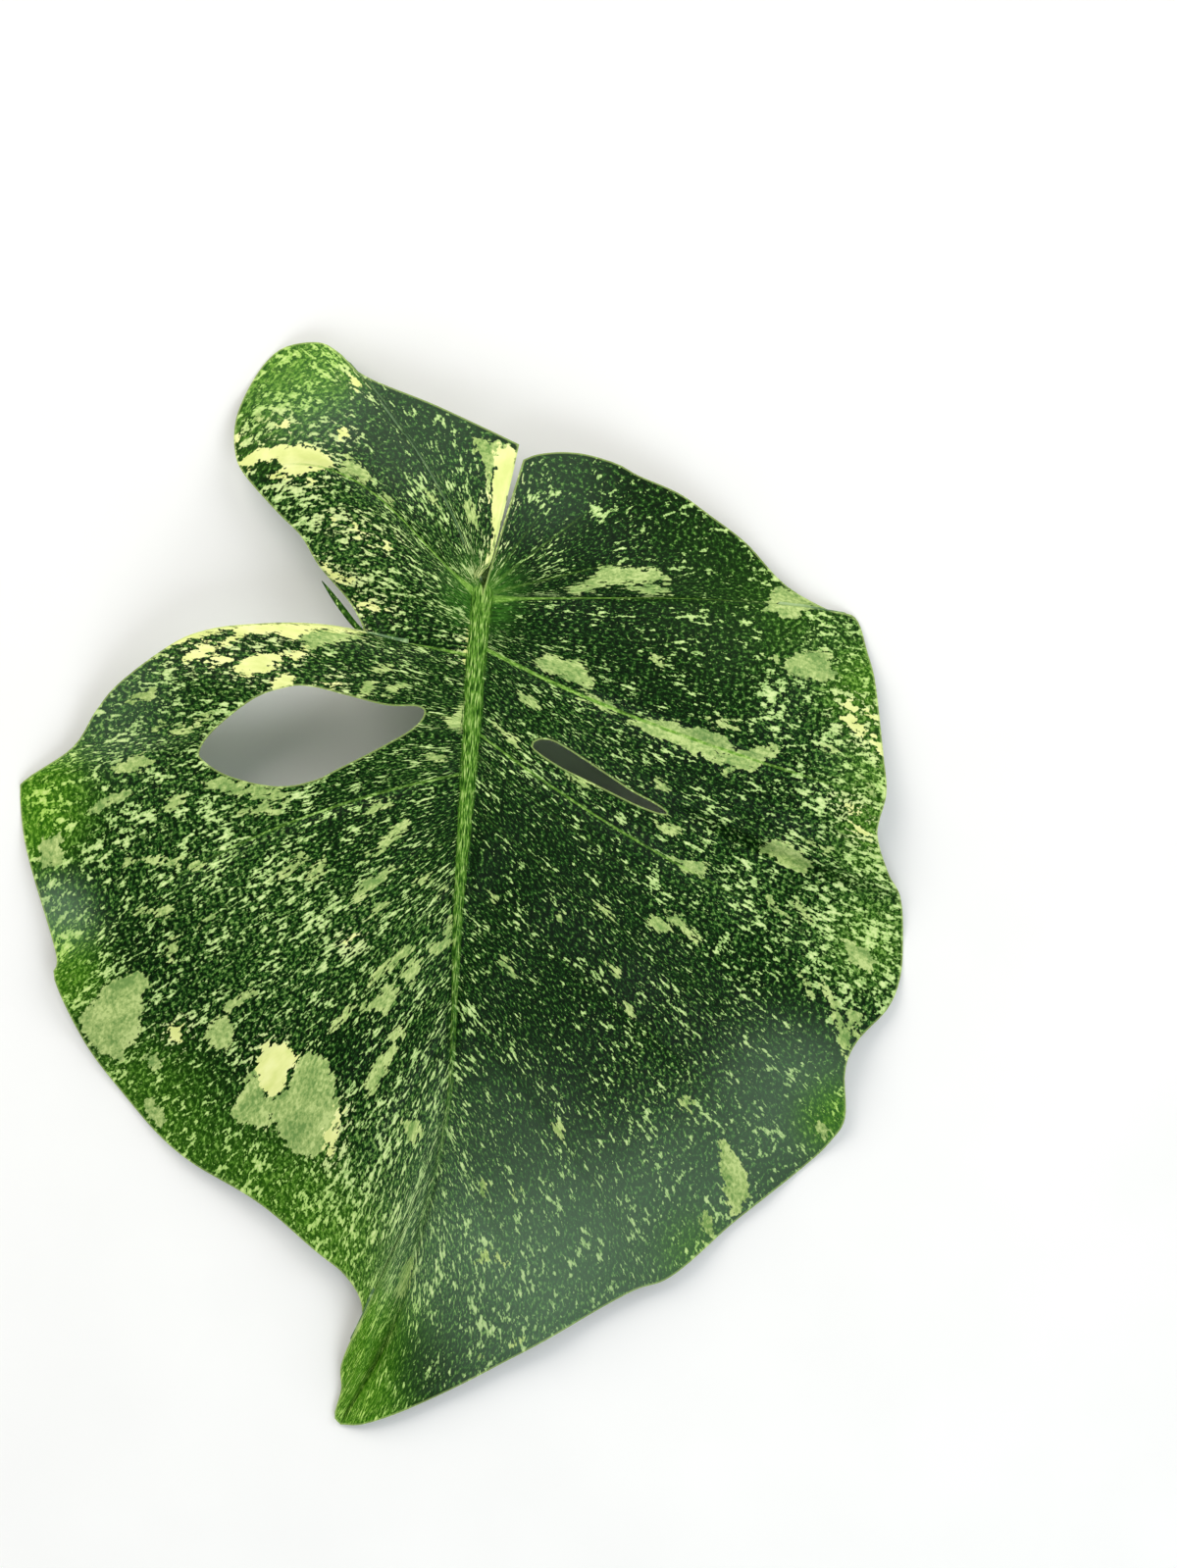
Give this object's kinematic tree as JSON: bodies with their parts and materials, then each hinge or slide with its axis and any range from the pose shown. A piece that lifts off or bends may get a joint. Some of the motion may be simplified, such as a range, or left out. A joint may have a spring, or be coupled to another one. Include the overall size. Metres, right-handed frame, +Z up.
{
  "type": "monstera leaf",
  "caption": "Variegated monstera leaf, picked with its stalk and lying face up: a lobed blade with a deep slit, holes and raised veins.",
  "frame": {"origin": "centre of the bounding box, on the surface the leaf lies on", "axes": "+Z up from the surface; the midrib runs along Y, with the tip towards -Y and the stalk's joint towards +Y"},
  "size_m": [0.235, 0.2876, 0.0375],
  "materials": {
    "lamina": "satin",
    "stalk": "satin"
  },
  "bodies": {
    "root": {"leaf_blade": "lamina", "petiole": "stalk"}
  },
  "joints": []
}
